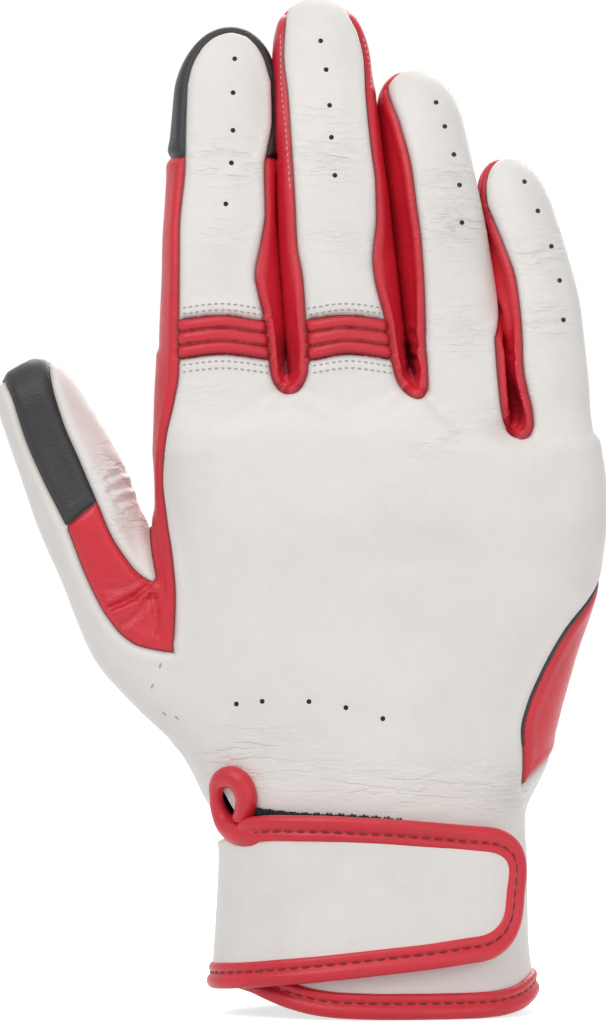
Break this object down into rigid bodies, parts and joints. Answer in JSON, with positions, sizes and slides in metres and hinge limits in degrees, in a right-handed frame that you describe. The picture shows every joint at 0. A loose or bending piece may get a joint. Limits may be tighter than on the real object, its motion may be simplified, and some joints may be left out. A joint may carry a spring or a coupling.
{
  "type": "motorcycle glove",
  "caption": "Right-hand leather motorcycle glove with a short cuff, hollow jointed fingers and thumb, pleated knuckle stretch panels and a wrist strap with a bound edge.",
  "frame": {"origin": "middle of the glove's bounding box in X and Y, on the plane of the cuff hem", "axes": "+Z along the fingers, -Y out of the back of the hand, +X towards the little finger"},
  "size_m": [0.1524, 0.0606, 0.2523],
  "materials": {
    "leather_white": "satin",
    "leather_red": "satin",
    "leather_touch": "satin",
    "lining": "matte",
    "pad": "matte",
    "tape": "matte"
  },
  "bodies": {
    "hand": {"back_panel": "leather_white", "cuff_band": "leather_white", "cuff_loop_pad": "tape", "hand_lining": "lining", "hem_binding": "leather_red", "knuckle_pad": "pad", "palm_panel": "leather_white", "palm_patch": "leather_white", "slit_binding": "leather_red", "thumb_crotch_gusset": "leather_red", "thumb_root_panel": "leather_white", "ulnar_gusset": "leather_red", "web_index_middle": "leather_red", "web_middle_ring": "leather_red", "web_ring_little": "leather_red", "wrist_elastic": "tape"},
    "index_base": {"index_base_back": "leather_white", "index_base_palm": "leather_white", "index_base_side_inner": "leather_red", "index_base_side_outer": "leather_red", "index_stretch_panel": "leather_red"},
    "index_tip": {"index_tip_back": "leather_white", "index_tip_palm": "leather_white", "index_tip_side_inner": "leather_red", "index_tip_side_outer": "leather_red", "index_touch_tip": "leather_touch"},
    "middle_base": {"middle_base_back": "leather_white", "middle_base_palm": "leather_white", "middle_base_side_inner": "leather_red", "middle_base_side_outer": "leather_red", "middle_stretch_panel": "leather_red"},
    "middle_tip": {"middle_tip_back": "leather_white", "middle_tip_palm": "leather_white", "middle_tip_side_inner": "leather_red", "middle_tip_side_outer": "leather_red"},
    "ring_base": {"ring_base_back": "leather_white", "ring_base_palm": "leather_white", "ring_base_side_inner": "leather_red", "ring_base_side_outer": "leather_red"},
    "ring_tip": {"ring_tip_back": "leather_white", "ring_tip_palm": "leather_white", "ring_tip_side_inner": "leather_red", "ring_tip_side_outer": "leather_red"},
    "little_base": {"little_base_back": "leather_white", "little_base_palm": "leather_white", "little_base_side_inner": "leather_red", "little_base_side_outer": "leather_red"},
    "little_tip": {"little_tip_back": "leather_white", "little_tip_palm": "leather_white", "little_tip_side_inner": "leather_red", "little_tip_side_outer": "leather_red"},
    "thumb_base": {"thumb_base_inner": "leather_white", "thumb_base_outer": "leather_white", "thumb_base_strip": "leather_red"},
    "thumb_tip": {"thumb_tip_inner": "leather_white", "thumb_tip_outer": "leather_white", "thumb_tip_strip": "leather_touch"},
    "strap": {"strap_binding": "leather_red", "strap_hook_pad": "tape", "strap_panel": "leather_white"}
  },
  "joints": [
    {"name": "index_flex", "type": "hinge", "parent": "hand", "child": "index_base", "pos_m": [-0.01878, 0.01187, 0.161], "axis": [-0.9995, 0, -0.0332], "range_deg": [0, 75]},
    {"name": "index_tip_flex", "type": "hinge", "parent": "index_base", "child": "index_tip", "pos_m": [-0.01982, 0.01407, 0.19241], "axis": [-1, 0.0029, 0.0077], "range_deg": [0, 85]},
    {"name": "middle_flex", "type": "hinge", "parent": "hand", "child": "middle_base", "pos_m": [0.01202, 0.01287, 0.161], "axis": [-0.9956, 0, -0.0941], "range_deg": [0, 75]},
    {"name": "middle_tip_flex", "type": "hinge", "parent": "middle_base", "child": "middle_tip", "pos_m": [0.00859, 0.01542, 0.19725], "axis": [-0.9963, 0.0006, -0.0854], "range_deg": [0, 85]},
    {"name": "ring_flex", "type": "hinge", "parent": "hand", "child": "ring_base", "pos_m": [0.03902, 0.01227, 0.155], "axis": [-0.9936, 0, -0.1132], "range_deg": [0, 75]},
    {"name": "ring_tip_flex", "type": "hinge", "parent": "ring_base", "child": "ring_tip", "pos_m": [0.03501, 0.01475, 0.19019], "axis": [-0.9906, -0.0016, -0.1365], "range_deg": [0, 85]},
    {"name": "little_flex", "type": "hinge", "parent": "hand", "child": "little_base", "pos_m": [0.06162, 0.01067, 0.145], "axis": [-0.9947, 0, -0.1028], "range_deg": [0, 75]},
    {"name": "little_tip_flex", "type": "hinge", "parent": "little_base", "child": "little_tip", "pos_m": [0.05844, 0.01284, 0.17576], "axis": [-0.9885, -0.0034, -0.1511], "range_deg": [0, 85]},
    {"name": "thumb_flex", "type": "hinge", "parent": "hand", "child": "thumb_base", "pos_m": [-0.04838, 0.01757, 0.112], "axis": [-0.9336, 0, -0.3584], "range_deg": [0, 50]},
    {"name": "thumb_tip_flex", "type": "hinge", "parent": "thumb_base", "child": "thumb_tip", "pos_m": [-0.05525, 0.01891, 0.12988], "axis": [-0.9188, -0.0027, -0.3946], "range_deg": [0, 70]},
    {"name": "strap_open", "type": "hinge", "parent": "hand", "child": "strap", "pos_m": [-0.01824, 0.00575, 0.02831], "axis": [-0.0372, 0.0096, -0.9993], "range_deg": [0, 150]}
  ]
}
